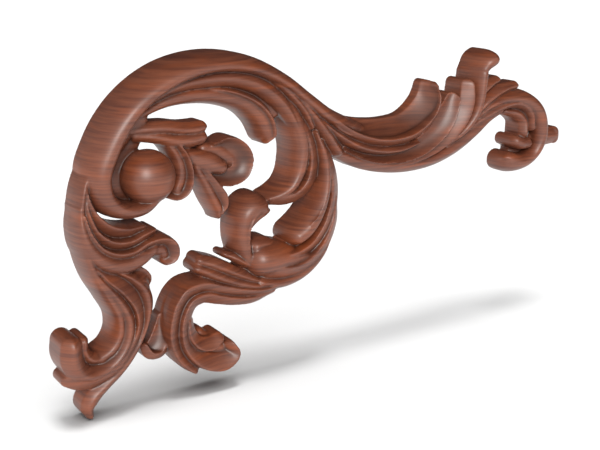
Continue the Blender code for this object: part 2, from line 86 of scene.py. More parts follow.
def colour(code: str) -> tuple[float, float, float, float]:
    """Turns an sRGB hex code into the linear colour that a shader socket takes.

    Args:
        code: six hex digits, such as "7a4b38".

    Returns:
        Linear red, green and blue, and an alpha of one.
    """
    parts = [int(code[i:i + 2], 16) / 255 for i in (0, 2, 4)]
    linear = [p / 12.92 if p <= 0.04045 else ((p + 0.055) / 1.055) ** 2.4 for p in parts]
    return (linear[0], linear[1], linear[2], 1.0)


def add_node(tree: bpy.types.NodeTree, kind: str, inputs: Inputs, **settings: object) -> bpy.types.Node:
    """Adds a node with its settings and links.

    Args:
        tree: the node tree that gets the node.
        kind: the node's type.
        inputs: for an input's name or number, a socket to link it from or a plain value.
        settings: values of the node's own properties.

    Returns:
        The new node.
    """
    node = tree.nodes.new(kind)
    for name, value in settings.items():
        setattr(node, name, value)
    for name, value in inputs.items():
        if isinstance(value, bpy.types.NodeSocket):
            tree.links.new(value, node.inputs[name])
        else:
            node.inputs[name].default_value = value
    return node


class Side(Enum):
    """Where a lobe's crest runs, from -1 at the right edge in the line's direction to +1 at the left."""
    RIGHT_EDGE = -0.9
    RIGHT = -0.75
    RIGHT_HALF = -0.2
    MIDDLE = 0.0
    LEFT_HALF = 0.2
    INNER = 0.35
    LEFT = 0.75
    LEFT_EDGE = 0.9


@dataclass(frozen=True)
class Section:
    """The outline across a lobe.

    The height at a place across is edge + (1 - edge) * (1 - fall ** spread) ** power, where fall runs from
    0 at the crest to 1 at either edge and each side has an edge of its own. A gouge of the depth dip takes
    a parabola out of the middle.
    """
    side: Side = Side.MIDDLE
    right: float = 0.6
    left: float = 0.6
    spread: float = 2.0
    power: float = 0.5
    dip: float = 0.0

    def heights(self, across: np.ndarray, cap: np.ndarray) -> np.ndarray:
        """Heights as shares of the crest.

        Args:
            across: places across the lobe, from -1 to +1.
            cap: how far the lobe's round end has risen at each cut, from 0 to 1.

        Returns:
            An array of cuts by places.
        """
        crest_at = self.side.value
        reach = np.where(across > crest_at, 1 - crest_at, 1 + crest_at)
        edge = np.where(across > crest_at, self.left, self.right)
        fall = np.clip(np.abs(across - crest_at) / reach, 0, 1)
        rise = (1 - edge) * (1 - fall ** self.spread) ** self.power - self.dip * (1 - across ** 2)
        return edge[None, :] + rise[None, :] * cap[:, None]


ROUND = Section()
KNOB = Section(right=0.4, left=0.4)
BAND = Section(Side.INNER, right=0.3, power=0.55)
FLUTE = Section(right=0.72, left=0.72, spread=1.5, power=0.9)
ROLL_LEFT = Section(Side.RIGHT_HALF, right=0.72, left=0.3, power=0.6)
ROLL_RIGHT = Section(Side.LEFT_HALF, right=0.3, left=0.72, power=0.6)
RIBBON_LEFT = Section(Side.LEFT, right=0.72, left=0.66, spread=1.3, power=1.0)
RIBBON_RIGHT = Section(Side.RIGHT, right=0.66, left=0.72, spread=1.3, power=1.0)
GOUGE_LEFT = Section(Side.LEFT_EDGE, right=0.7, left=0.7, spread=1.0, power=1.3, dip=0.12)
GOUGE_RIGHT = Section(Side.RIGHT_EDGE, right=0.7, left=0.7, spread=1.0, power=1.3, dip=0.12)
SHELL_LEFT = Section(Side.RIGHT_EDGE, right=0.7, left=0.35, spread=1.0, power=1.0, dip=0.08)


@dataclass(frozen=True)
class Fineness:
    """How finely a lobe is cut, with distances in drawing units."""
    step: float = 1.5           # between two cuts along the line
    across_cuts: int = 21       # points over the lobe's back at each cut
    end_cuts: int = 9           # cuts round each end
    first_cut: float = 0.08     # share of a quarter turn that an end's first cut stands at
    fewest_cuts: int = 4        # cuts between the two ends of a short lobe
    below: float = 0.5          # how far a lobe runs through the back


def unit(step: np.ndarray) -> np.ndarray:
    """Returns the same direction with length one."""
    return step / np.linalg.norm(step)


def along(values: np.ndarray, places: np.ndarray, wanted: np.ndarray) -> np.ndarray:
    """Smooth values between stations: a cubic through every station, with no kink between them.

    Args:
        values: one row for each station.
        places: distance of each station along the line.
        wanted: distances at which values are wanted.

    Returns:
        One row for each wanted distance.
    """
    slopes = np.gradient(values, places, axis=0)
    piece = np.clip(np.searchsorted(places, wanted, side="right") - 1, 0, len(places) - 2)
    start, end = places[piece], places[piece + 1]
    span = (end - start)[:, None]
    t = (wanted[:, None] - start[:, None]) / span
    return ((1 + 2 * t) * (1 - t) ** 2 * values[piece] + t * (1 - t) ** 2 * span * slopes[piece]
            + t ** 2 * (3 - 2 * t) * values[piece + 1] + t ** 2 * (t - 1) * span * slopes[piece + 1])


@dataclass(frozen=True)
class Lobe:
    """One leaf lobe, flute or band: a line with stations (across, up, half width, crest), as drawn."""
    name: str
    section: Section
    stations: tuple[Station, ...]

    def rings(self, fineness: Fineness) -> np.ndarray:
        """Closed rings of points round the lobe, one at each cut along its line.

        At each end the width and the crest's rise fall off as a quarter circle, a half width long.

        Args:
            fineness: how finely the lobe is cut.

        Returns:
            An array of cuts by points by (across, up, height).
        """
        stations = np.array(self.stations, dtype=float)
        first, last = stations[0, 2], stations[-1, 2]
        before, after = stations[0].copy(), stations[-1].copy()
        before[:2] -= first * unit(stations[1, :2] - stations[0, :2])
        after[:2] += last * unit(stations[-1, :2] - stations[-2, :2])
        stations = np.concatenate((before[None], stations, after[None]))
        legs = np.linalg.norm(np.diff(stations[:, :2], axis=0), axis=1)
        places = np.concatenate(([0.0], np.cumsum(legs)))
        length = places[-1]
        shares = np.linspace(fineness.first_cut, 1, fineness.end_cuts, endpoint=False)
        turn = 1 - np.cos(shares * np.pi / 2)
        middle_cuts = max(int(length / fineness.step), fineness.fewest_cuts)
        wanted = np.concatenate((
            first * turn,
            np.linspace(first, length - last, middle_cuts),
            (length - last * turn)[::-1]))
        line = along(stations, places, wanted)
        heading = np.gradient(line[:, :2], wanted, axis=0)
        heading /= np.linalg.norm(heading, axis=1)[:, None]
        left = np.stack((-heading[:, 1], heading[:, 0]), axis=1)
        cap = np.minimum(np.minimum(wanted / first, (length - wanted) / last), 1)
        cap = np.sqrt(1 - (1 - cap) ** 2)
        across = np.sin(np.linspace(-1, 1, fineness.across_cuts) * np.pi / 2)
        top = np.empty((len(wanted), fineness.across_cuts, 3))
        offset = across[None, :] * (line[:, 2] * cap)[:, None]
        top[:, :, :2] = line[:, None, :2] + offset[:, :, None] * left[:, None, :]
        top[:, :, 2] = line[:, 3:4] * self.section.heights(across, cap)
        foot = top[:, [-1, 0], :].copy()
        foot[:, :, 2] = -fineness.below
        return np.concatenate((top, foot), axis=1)


@dataclass(frozen=True)
class Part:
    """One part of the carving, with its lobes."""
    lobes: tuple[Lobe, ...] = ()

    def bodies(self, fineness: Fineness) -> list[np.ndarray]:
        """Cuts each of the part's lobes into rings of points, and logs the part.

        Args:
            fineness: how finely the lobes are cut.

        Returns:
            For each lobe, an array of cuts by points by (across, up, height).
        """
        log.info("%s: %d lobes", type(self).__name__, len(self.lobes))
        return [lobe.rings(fineness) for lobe in self.lobes]


def tube_quads(cuts: int, around: int) -> np.ndarray:
    """Quads of a closed tube whose points run around each cut first.

    Args:
        cuts: number of rings.
        around: number of points in each ring.

    Returns:
        An array of quads by four point numbers.
    """
    numbers = np.arange(cuts * around).reshape(cuts, around)
    following = np.roll(numbers, -1, axis=1)
    return np.stack((numbers[:-1], following[:-1], following[1:], numbers[1:]), axis=-1).reshape(-1, 4)


def to_board(points: np.ndarray) -> np.ndarray:
    """Turns places in the drawing into places on the board, with the height running out along -Y.

    Args:
        points: places as (across, up, height) in drawing units.

    Returns:
        The same places as (x, y, z) in metres.
    """
    across, up, height = points[..., 0], points[..., 1], points[..., 2]
    return np.stack((across * PLAN - FIXING_FROM_LEFT, -height * DEPTH,
                     up * PLAN - FIXING_FROM_FOOT), axis=-1)


@dataclass(frozen=True)
class VoluteBand(Part):
    """The band that sweeps over the top and round into the eye, with the eye's bed and wall."""
    lobes: tuple[Lobe, ...] = (
        Lobe("volute band", BAND, (
            (224, 150, 1.4, 6), (210, 153.6, 3, 12), (196, 158.2, 4.6, 18.5), (182, 164.8, 5, 22),
            (166, 176, 5, 23.5), (148, 189.2, 4.8, 25), (125, 200, 5.2, 26.5), (97, 203, 5.8, 27),
            (70, 196.3, 6.6, 27), (48, 181, 7, 27), (35, 162, 7.6, 26), (29.5, 146, 7.6, 25),
            (33, 132.8, 6.6, 24), (44, 125, 5.2, 23), (57, 125, 4.6, 22), (67, 131, 3.4, 20))),
        Lobe("eye bed", ROUND, (
            (61.5, 167.5, 4, 9), (52, 161.5, 9, 9), (44, 151, 11, 9), (47, 140, 11, 9),
            (57, 134, 8, 9))),
        Lobe("eye wall", ROUND, (
            (35, 150, 8, 12), (39, 161, 9, 13), (47, 169, 8.5, 13), (58, 174.6, 6, 13))),
    )


@dataclass(frozen=True)
class Leg(Part):
    """The leg's flutes, which sweep down and round into the foot scroll, and the foot below it."""
    lobes: tuple[Lobe, ...] = (
        Lobe("leg flute 1", ROLL_RIGHT, (
            (31, 158, 1.5, 14), (24, 147, 2.4, 17.5), (19.6, 132, 2.6, 18.5), (18.8, 118, 2.8, 18.5),
            (20.6, 104, 3.2, 19), (25.2, 90, 3.8, 19.5), (32.8, 76, 4, 19.5), (37.8, 64, 3.6, 19),
            (37.6, 54.5, 3.8, 18.5), (33, 46.5, 4, 18), (26, 42.5, 3.8, 17.5))),
        Lobe("foot tongue", FLUTE, (
            (27, 41.5, 3.4, 17.5), (20.5, 43, 3.6, 18), (16.8, 48.5, 3.4, 18.5), (16.8, 54.5, 3.2, 19))),
        Lobe("leg flute 2", FLUTE, (
            (23.5, 96, 1.5, 19), (29.5, 86.5, 3, 20), (38.5, 74, 4, 20.5), (43.6, 61.5, 4.4, 20.5),
            (42.5, 51, 4.4, 20.5), (37.5, 42, 4.2, 20.5), (29.5, 36, 4.4, 20.5), (20, 34.2, 5, 21.5),
            (12, 38.4, 6, 23), (8.6, 46, 6.6, 24), (8.8, 53.6, 6.2, 24))),
        Lobe("leg flute 3", RIBBON_RIGHT, (
            (27, 96, 2, 19), (34, 89, 3.6, 20), (43.5, 79.5, 4.2, 20.5), (49.5, 69, 3.8, 20.5),
            (50.8, 59, 3.4, 20), (48, 49, 3.4, 19.5), (43.5, 41, 3.8, 19), (35.5, 33, 4, 19),
            (24, 29, 4, 19), (13, 29.5, 4.2, 19), (7, 32.5, 4, 18))),
        Lobe("foot", FLUTE, (
            (38, 91.5, 1.6, 18.5), (46.5, 86.5, 2.8, 19), (54, 78.5, 3.8, 19), (56.6, 69, 4, 18.5),
            (55.4, 60, 2.8, 18.5), (51.8, 50, 2.6, 18), (46.4, 41, 3.4, 17.5), (38, 32, 4, 17.5),
            (28, 24.5, 4.4, 17.5), (21, 18.5, 4.9, 17.5), (18.1, 12.5, 4.4, 16.5),
            (19.4, 7.6, 2.6, 15))),
    )


@dataclass(frozen=True)
class Spray(Part):
    """The leaves under the volute, which end in a curl and a tip."""
    lobes: tuple[Lobe, ...] = (
        Lobe("spray leaf 1", RIBBON_LEFT, (
            (24.5, 150, 1, 16), (22.2, 138, 2, 18.5), (26.6, 124.8, 3, 19.5), (35.5, 116.3, 3.4, 19.5),
            (46, 113, 3.6, 19), (55, 113.2, 3.2, 17.5))),
        Lobe("spray leaf 2", RIBBON_LEFT, (
            (22.5, 143, 1, 16.5), (21.8, 128, 2.2, 19.5), (27.6, 113.8, 3, 20.5), (37, 107.4, 3.2, 20.5),
            (48, 106.8, 3.2, 20.5), (57, 109.6, 3.2, 20), (61.4, 111, 2.6, 19))),
        Lobe("spray leaf 3", RIBBON_LEFT, (
            (20, 126, 1.4, 20), (22.5, 115.5, 2.2, 21), (29, 105.5, 2.8, 21.5), (39, 100.6, 3, 21.5),
            (49, 100.8, 3, 21.5), (57, 104.4, 3, 21.5), (64, 105.6, 3, 22), (70, 104, 3.2, 22),
            (72.8, 99, 3.2, 21.5), (71.6, 94, 3, 20.5), (68, 92.4, 2.4, 19.5))),
        Lobe("spray curl", ROUND, (
            (61, 100, 4.4, 18.5), (65.6, 100, 4.2, 18.5), (68, 96.6, 3.6, 17.5))),
        Lobe("spray body", ROLL_RIGHT, (
            (18.6, 130, 2.2, 18.5), (18.8, 118, 4, 20), (22, 107, 5.6, 21), (28.2, 99.4, 6, 21.5),
            (36.5, 94.8, 6, 21.5), (46, 93.8, 6, 21.5), (54.5, 96.6, 5.6, 21), (61, 100, 4, 20))),
        Lobe("spray tip", GOUGE_RIGHT, (
            (43, 90, 2, 17), (51, 88, 3, 17), (57, 85, 3, 16.5), (60, 80.5, 2.2, 15),
            (59.8, 77.5, 1, 14))),
    )


@dataclass(frozen=True)
class CentreLeaf(Part):
    """The centre leaf, which swings down from the right scroll and hooks back, and the leaves behind."""
    lobes: tuple[Lobe, ...] = (
        Lobe("centre body", RIBBON_RIGHT, (
            (148, 64, 2.5, 20), (132, 61.8, 3.2, 21), (116, 64.6, 3.8, 21), (101, 69.4, 4.4, 21.5),
            (89, 73, 4.8, 22), (80.5, 71, 5, 22), (75.5, 65, 5, 21.5), (72.5, 56, 5, 21),
            (72, 45, 5, 20), (75.5, 33.5, 4.6, 19), (82.5, 24.5, 4.2, 18), (86, 21, 3.4, 17))),
        Lobe("centre inner", RIBBON_RIGHT, (
            (140, 59.6, 2, 18), (127, 57.6, 3, 19), (114, 59, 3.4, 19), (102, 62.6, 3.8, 19.5),
            (92, 65.6, 4.2, 20), (85, 63.5, 4.4, 20), (81, 57.5, 4.4, 20), (79, 48, 4.4, 20),
            (80.5, 38.5, 4.6, 20.5), (86.5, 29.5, 5, 21), (96, 23.5, 5.6, 21), (105.5, 22.6, 5.6, 21),
            (111, 26.5, 4.4, 20.5), (109, 32, 3, 20))),
        Lobe("centre heart", RIBBON_RIGHT, (
            (83.5, 52, 2.6, 18), (84, 44, 3.6, 19), (88.5, 37.5, 4, 20), (96, 35.6, 4.2, 20),
            (101.5, 38, 3.4, 19))),
        Lobe("centre heart bed", ROUND, (
            (92, 41, 3.5, 12), (99, 33, 6, 14.5), (106, 29, 5, 14.5))),
        Lobe("centre rim", FLUTE, (
            (122, 66.6, 2, 17), (106, 71.6, 2.4, 15), (93, 74.8, 2.6, 12), (83.5, 74.6, 2.6, 11),
            (77, 71.3, 2.6, 11), (72.5, 65, 2.8, 11), (69.4, 56, 3, 12), (68.6, 47, 3, 13))),
        Lobe("centre back leaf", GOUGE_LEFT, (
            (68, 56, 3, 13), (65.5, 48, 4.4, 14.5), (62.5, 41.5, 5, 15), (59, 37.8, 4.6, 15))),
        Lobe("centre back tip", RIBBON_LEFT, (
            (54.6, 41.5, 2.4, 14.5), (57.6, 36, 3, 15.5), (64, 34.8, 3, 15.5), (70, 39, 2.8, 14.5))),
        Lobe("centre leaf 1 upper", FLUTE, (
            (138, 66, 2, 17), (126, 70.6, 3, 18.5), (113, 77.2, 3.8, 18.8), (102, 83, 4.2, 17.5),
            (92.6, 87, 3.8, 15.5))),
        Lobe("centre leaf 1 lower", ROLL_RIGHT, (
            (138, 64.5, 2, 19), (124, 68, 3, 19.5), (110, 73.4, 3.8, 19.5), (99, 79, 4.2, 18.5),
            (90.4, 83.6, 3.8, 16.5))),
        Lobe("centre leaf 2", FLUTE, (
            (131, 74, 2, 15), (124, 79.2, 2.6, 17), (116, 84.8, 2.8, 17), (109, 88.2, 2.2, 14))),
    )


@dataclass(frozen=True)
class RightScroll(Part):
    """The right scroll's flutes, from the crown down and round, with the kidney and the bulb."""
    lobes: tuple[Lobe, ...] = (
        Lobe("scroll flute 1", ROLL_RIGHT, (
            (141, 181.5, 3.4, 17), (149.6, 172.6, 5.6, 20), (155.2, 161.4, 6.4, 22),
            (158.4, 150, 6, 22.5), (158, 140, 5.8, 22.5), (155.6, 131.6, 5.2, 22),
            (150.8, 125, 4.4, 21.5), (144.4, 121.4, 3.6, 20), (138, 119.8, 2.6, 18))),
        Lobe("scroll flute 2", RIBBON_RIGHT, (
            (157, 170, 2, 20), (164, 158, 3.2, 21), (167.2, 147, 4.4, 22), (167.8, 136, 5, 22),
            (164.8, 126, 5, 22), (156.8, 119.2, 4.4, 21.5), (147, 117, 3.6, 20), (140, 117, 2.8, 18))),
        Lobe("kidney", KNOB, (
            (170, 156, 2, 20), (174, 145, 3.6, 22), (176.2, 134, 4.2, 23), (175.6, 122, 4.8, 24),
            (172.4, 111.2, 5.6, 24.5), (167, 102.4, 6.6, 25), (160.6, 96.2, 7.2, 25),
            (156.4, 93.6, 7, 24.5))),
        Lobe("kidney ridge", RIBBON_RIGHT, (
            (177, 142, 1.4, 22), (178, 130, 1.8, 23.5), (176, 118, 2.2, 24.6), (170.4, 107, 2.4, 25.4),
            (163.4, 100, 2.2, 25.4))),
        Lobe("scroll flute 3", RIBBON_RIGHT, (
            (176, 150, 2, 19), (181, 136, 3.8, 21), (183.4, 121, 4.6, 22), (181.8, 107, 5.2, 22),
            (176, 95, 5, 22.4), (167.6, 86.6, 4.6, 22.8), (157.5, 82, 4.4, 23), (148, 80.6, 4.4, 23))),
        Lobe("scroll flute 4", RIBBON_RIGHT, (
            (186, 114, 2.5, 20), (184.4, 99, 4, 20.5), (178.5, 86.5, 4.8, 21.4), (169, 77, 5.2, 22.2),
            (157.5, 72.4, 5.2, 22.8), (146.5, 72.2, 5.2, 23.4), (137, 74.4, 5.2, 23.4))),
        Lobe("scroll flute 5", FLUTE, (
            (183.5, 92, 2.5, 18), (176.5, 79.5, 4.2, 18.5), (166.5, 70.8, 4.8, 19), (155, 66.5, 4.8, 20),
            (143, 65.4, 4.4, 20.5), (132, 67.5, 4, 20))),
        Lobe("bulb", KNOB, (
            (163, 79, 6, 20), (152, 80, 8.6, 22.4), (141, 81, 10.8, 24.4), (132.8, 81.6, 11, 25))),
    )


@dataclass(frozen=True)
class Tulip(Part):
    """The tulip leaf in the middle, with its lip and petal."""
    lobes: tuple[Lobe, ...] = (
        Lobe("tulip trunk", ROLL_LEFT, (
            (128, 73, 3, 16), (122.5, 83, 4.6, 18), (119, 94, 5.8, 19.5), (118.8, 105, 6.4, 20.5),
            (122, 113.4, 7.2, 21.5), (128, 116.4, 7.6, 21.5), (132.6, 115.2, 6.4, 20.5))),
        Lobe("tulip flute", RIBBON_RIGHT, (
            (124.4, 82, 1.2, 18), (121, 93, 1.6, 20.4), (120.6, 103, 1.8, 21.6), (124.4, 111, 2, 22),
            (128.6, 113.6, 1.6, 21.2))),
        Lobe("tulip lip", ROUND, (
            (119, 93, 2.4, 17), (120.4, 101, 3.4, 18.5), (124.8, 107, 4, 19.5),
            (129.6, 110.6, 4.4, 19.5), (133, 112, 4.4, 19.2))),
        Lobe("tulip petal", FLUTE, (
            (127, 84, 4, 18), (128.5, 91, 4.2, 19), (135, 91.5, 4, 18), (141, 88.5, 3.6, 17))),
    )


@dataclass(frozen=True)
class Arch(Part):
    """The arch over the middle, with its hook."""
    lobes: tuple[Lobe, ...] = (
        Lobe("crown leaf", FLUTE, (
            (62, 183, 2.5, 16), (78, 191, 4, 19.5), (97, 193.8, 4.8, 21), (115, 193, 5.2, 22),
            (130, 188, 5.4, 22.5), (142.6, 179, 5.2, 22.5), (150.4, 169.4, 4.2, 22.5),
            (155.4, 159, 3.2, 22), (157.4, 149, 2, 21.5))),
        Lobe("hook", ROLL_RIGHT, (
            (58, 176, 3, 14), (74, 182.2, 4, 16), (93, 184, 4.8, 17.5), (110, 181.6, 5.2, 18),
            (124, 176, 5.6, 18.5), (132.8, 167.5, 5.8, 19), (137, 158, 5.2, 19))),
        Lobe("hook rim", FLUTE, (
            (95, 188, 0.8, 15.5), (107, 186.9, 1.6, 18.6), (119, 183.2, 2.1, 20.4),
            (129.4, 177.4, 2.4, 21.2), (136, 170.6, 2.5, 21.6), (139.2, 163.4, 2.5, 21.6),
            (139.6, 157.6, 2.4, 21), (136.4, 154.2, 2, 18.5))),
        Lobe("arch bed", ROUND, (
            (80, 187.5, 3, 13), (100, 190, 4, 14), (118, 187, 4.5, 15), (132, 180.5, 4.5, 15),
            (143, 170, 4, 15))),
    )


@dataclass(frozen=True)
class InnerLeaves(Part):
    """The leaves inside the arch: the inner leaf, the eye's hook, the slant leaf and the curl."""
    lobes: tuple[Lobe, ...] = (
        Lobe("inner leaf", FLUTE, (
            (52, 168, 4, 13), (64, 168.4, 4, 15), (74, 168, 4, 15.8), (84, 166.2, 4, 16),
            (92, 166, 4, 16.5), (95, 166.6, 3.6, 16.5))),
        Lobe("inner leaf lower", FLUTE, (
            (56, 165, 3.4, 13), (68, 163.4, 4, 15.5), (78, 160.8, 4.4, 16.5), (87, 160, 4.6, 17.2),
            (94, 160.8, 4.4, 17))),
        Lobe("eye hook left", ROLL_RIGHT, (
            (68, 163, 2.4, 12.5), (75.2, 157, 3.2, 13.5), (80, 148.5, 3.8, 14), (81.2, 139, 4, 14),
            (78.6, 132, 4, 13.5))),
        Lobe("eye hook right", RIBBON_LEFT, (
            (74, 162, 1.6, 14), (81, 155.4, 1.8, 16.5), (85.4, 146.5, 1.8, 17), (86.4, 138, 1.9, 17),
            (83.6, 130.4, 2, 16.5), (77.6, 127.8, 2, 15.5), (73, 129, 1.6, 14))),
        Lobe("slant leaf left", ROLL_RIGHT, (
            (87.5, 150, 2.6, 14.5), (92, 140.5, 3.2, 15.5), (97, 131, 3.6, 16), (101, 122.6, 3.8, 16),
            (104, 116.4, 3.4, 15.5), (104.6, 112.6, 2.4, 14))),
        Lobe("slant leaf right", RIBBON_LEFT, (
            (90, 148, 2, 15.5), (96.4, 139, 2.8, 17), (102.4, 130.5, 3.4, 17.5), (107, 124, 3.2, 17.3),
            (108, 119, 2.4, 16.5), (106, 115.4, 2, 15.5))),
        Lobe("curl outer", GOUGE_RIGHT, (
            (94, 142, 2.4, 16), (103, 136.6, 4, 17), (111.5, 135, 5, 18), (118.8, 138, 5.6, 18.5),
            (121.4, 145, 5.8, 18.5), (117.4, 151.8, 5.6, 18.5), (110.6, 155, 4.8, 17.5),
            (105.5, 154.4, 3.4, 16.5))),
        Lobe("curl inner", ROUND, (
            (84, 152.5, 3.6, 15.5), (93, 147.8, 5.6, 17), (101, 144.4, 6, 18.2), (106.4, 142, 4.6, 18))),
        Lobe("curl bed", ROUND, (
            (98, 153, 4, 12), (106, 150, 6, 13), (114, 146, 5, 13))),
    )


@dataclass(frozen=True)
class Junction(Part):
    """The strips that leave the crown at the junction and run into the arm."""
    lobes: tuple[Lobe, ...] = (
        Lobe("junction strip 1", FLUTE, (
            (124, 196, 1.5, 19), (140, 189, 2.6, 21), (153, 179, 3, 22), (162.5, 168, 3, 21.5),
            (167, 160, 2.4, 20))),
        Lobe("junction strip 2", FLUTE, (
            (140, 191.5, 1.5, 19), (155, 180, 2.8, 21), (166, 168.5, 3.4, 22), (177.5, 155, 4.2, 21.5),
            (187.5, 142.5, 4, 19.5))),
        Lobe("junction bed", ROUND, (
            (150, 176, 8, 15), (166, 164, 10, 15), (180, 152, 9, 15), (190, 147, 7, 14))),
    )


@dataclass(frozen=True)
class Arm(Part):
    """The arm's flutes, which open into three leaves and the upright curl."""
    lobes: tuple[Lobe, ...] = (
        Lobe("arm leaf 1", SHELL_LEFT, (
            (178, 167.5, 3, 19), (190, 159.6, 5.2, 20), (203, 154.4, 6.2, 20), (216, 151.6, 6.8, 20),
            (231, 150.6, 7.2, 20.5), (244.5, 152.6, 7.2, 21), (254, 159, 6.6, 21),
            (260, 167.6, 5.2, 20.5), (262, 176.4, 3.6, 19.5))),
        Lobe("arm flute 1", RIBBON_LEFT, (
            (166, 175, 2, 20), (182, 161.5, 2.8, 21.5), (198, 151.5, 3, 22), (214, 145.8, 3, 22),
            (231, 144, 3.2, 22.5), (247, 147, 3.4, 23), (257.5, 153.2, 3.4, 23),
            (264.4, 161.4, 2.8, 22.5), (266.6, 169.6, 2.4, 21.5), (264.6, 177, 2, 20))),
        Lobe("arm flute 2", FLUTE, (
            (170, 166, 2, 20), (188, 152, 2.6, 21), (205, 143, 2.8, 21.5), (221, 139, 2.8, 21.5),
            (237, 138.5, 2.6, 21), (250, 141, 1.6, 20))),
        Lobe("arm leaf 2", GOUGE_RIGHT, (
            (196, 143, 2.5, 19), (212, 136, 3.2, 20.5), (230, 133.5, 3.8, 21), (247, 135.5, 4.8, 21.5),
            (260, 142, 6, 22), (270, 151.5, 6.8, 22.5), (276, 161, 6, 22.5), (279, 166.5, 4.6, 22))),
        Lobe("arm leaf 3", RIBBON_RIGHT, (
            (215, 131.5, 2, 18), (234, 130, 3, 19.5), (252, 132.3, 3.6, 20.5), (267, 138, 4.2, 21.5),
            (280, 147.5, 5, 22.5), (287.5, 158, 5.2, 23), (290, 168, 4.8, 23), (290.5, 175, 4.2, 22))),
        Lobe("arm lower edge", FLUTE, (
            (188, 141, 3.5, 17), (205, 133.5, 4.5, 18), (225, 128.5, 5, 18.5), (246, 126.6, 5, 19),
            (266, 128.7, 5.2, 19.5), (284, 134.8, 5.4, 20), (300, 143.6, 5.2, 20), (313, 151, 4.2, 19),
            (323, 154.5, 3.6, 18))),
        Lobe("arm bed", ROUND, (
            (196, 149, 7, 14), (216, 143, 9, 14), (240, 141, 11, 14), (262, 145, 11, 14),
            (280, 154, 11, 14), (294, 160, 9, 14))),
        Lobe("top curl stem", ROLL_LEFT, (
            (276, 138, 3, 19), (289, 146, 4, 21), (296.5, 156, 4.6, 23), (299.5, 168, 5, 24),
            (300.2, 176, 5.2, 24), (300.8, 182, 5.2, 24))),
        Lobe("top curl", KNOB, (
            (302, 184.6, 5.2, 24), (305.4, 188.8, 6.4, 25.5), (309, 190.8, 6.4, 26))),
    )


@dataclass(frozen=True)
class RightEnd(Part):
    """The arm's end: two small leaves, the rolled rim with its cup, and the tip."""
    lobes: tuple[Lobe, ...] = (
        Lobe("end leaf 1", FLUTE, (
            (298, 158, 2.5, 18), (304, 167, 3.4, 19), (312, 173, 3.6, 18.5), (321, 175.5, 3, 16))),
        Lobe("end leaf 2", FLUTE, (
            (301, 154, 2.5, 18), (311, 162.5, 3.6, 19), (324, 168.5, 4, 18.5), (339, 170, 3.4, 15))),
        Lobe("end outer rim", ROLL_LEFT, (
            (302, 153, 2, 18), (318, 161.5, 3.6, 20), (334, 163.2, 4.8, 21), (348.5, 160, 6, 22),
            (358.8, 151.8, 6.6, 22.5), (363, 141, 6.6, 22.5), (362.8, 130, 6, 22), (357, 120, 5.4, 21),
            (347, 115.4, 6.2, 21), (338, 116, 7.2, 21), (334.5, 117.4, 7.2, 20.5))),
        Lobe("end inner rim", FLUTE, (
            (296, 146, 2.5, 18), (310, 153, 3.6, 20), (324, 158, 3.8, 21), (336, 159, 3.6, 21),
            (345.5, 155.5, 3.2, 20.5), (352, 148.5, 3, 20), (354, 140, 3, 19))),
        Lobe("end cup", FLUTE, (
            (333, 152.5, 3, 14), (341, 150.5, 3.6, 17), (347, 144.5, 3.8, 18), (347, 137, 3.8, 19))),
        Lobe("end roll", ROUND, (
            (351, 129, 4.4, 19), (344.5, 129.6, 4.6, 20.5), (338.5, 132, 4.4, 20.5))),
        Lobe("end bed", ROUND, (
            (340, 154, 6, 10), (353, 148, 7, 10), (355, 134, 7, 10), (347, 125, 7, 10))),
        Lobe("end tip", FLUTE, (
            (362, 131.5, 6, 15), (372, 131, 6.4, 16), (378.6, 131, 6, 16))),
        Lobe("end tip edge", FLUTE, (
            (381, 129.8, 5, 15.5), (381, 132.4, 5, 15.5))),
    )


@dataclass(frozen=True)
class Ball(Part):
    """The ball in the volute's eye, in drawing units."""
    across: float = 61.0
    up: float = 142.0
    height: float = 12.0
    radius: float = 15.5
    turns: int = 64
    levels: int = 32
    pole_gap: float = 0.02      # angle from a pole to the first ring, in radians

    def bodies(self, fineness: Fineness) -> list[np.ndarray]:
        """Rings of latitude: each a circle of the radius times the sine of its angle from the pole.

        Args:
            fineness: not needed here, because the ball has counts of its own.

        Returns:
            One array of rings by points by (across, up, height).
        """
        rise = np.linspace(self.pole_gap, np.pi - self.pole_gap, self.levels)[:, None]
        turn = np.linspace(0, 2 * np.pi, self.turns, endpoint=False)[None, :]
        log.info("Ball: radius %.1f mm", self.radius * PLAN / MM)
        return [np.stack((self.across + self.radius * np.sin(rise) * np.cos(turn),
                          self.up + self.radius * np.sin(rise) * np.sin(turn),
                          self.height + self.radius * np.cos(rise) * np.ones_like(turn)), axis=-1)]


@dataclass(frozen=True)
class Streaks:
    """Level streaks in the wood.

    They are noise that is stretched to the streaks' real width and length. Between the noise levels low and
    high the colour comes in, from nothing up to its share.
    """
    tone: str
    width: float
    length: float
    low: float
    high: float
    share: float = 1.0
    detail: float = 4.0
    roughness: float = 0.6
    distortion: float = 0.15

    def amount(self, tree: bpy.types.NodeTree, place: bpy.types.NodeSocket) -> bpy.types.NodeSocket:
        """Adds the nodes that say how much of the streaks' colour shows at a place.

        Args:
            tree: the material's node tree.
            place: the Object coordinates.

        Returns:
            The socket with the amount, from 0 to the share.
        """
        stretched = add_node(tree, "ShaderNodeMapping", {
            "Vector": place, "Scale": (1 / self.length, 1 / self.length, 1 / self.width)})
        noise = add_node(tree, "ShaderNodeTexNoise", {
            "Vector": stretched.outputs["Vector"], "Scale": 1.0, "Detail": self.detail,
            "Roughness": self.roughness, "Distortion": self.distortion})
        told = add_node(tree, "ShaderNodeMapRange", {
            "Value": noise.outputs["Fac"], "From Min": self.low, "From Max": self.high,
            "To Max": self.share})
        return told.outputs["Result"]


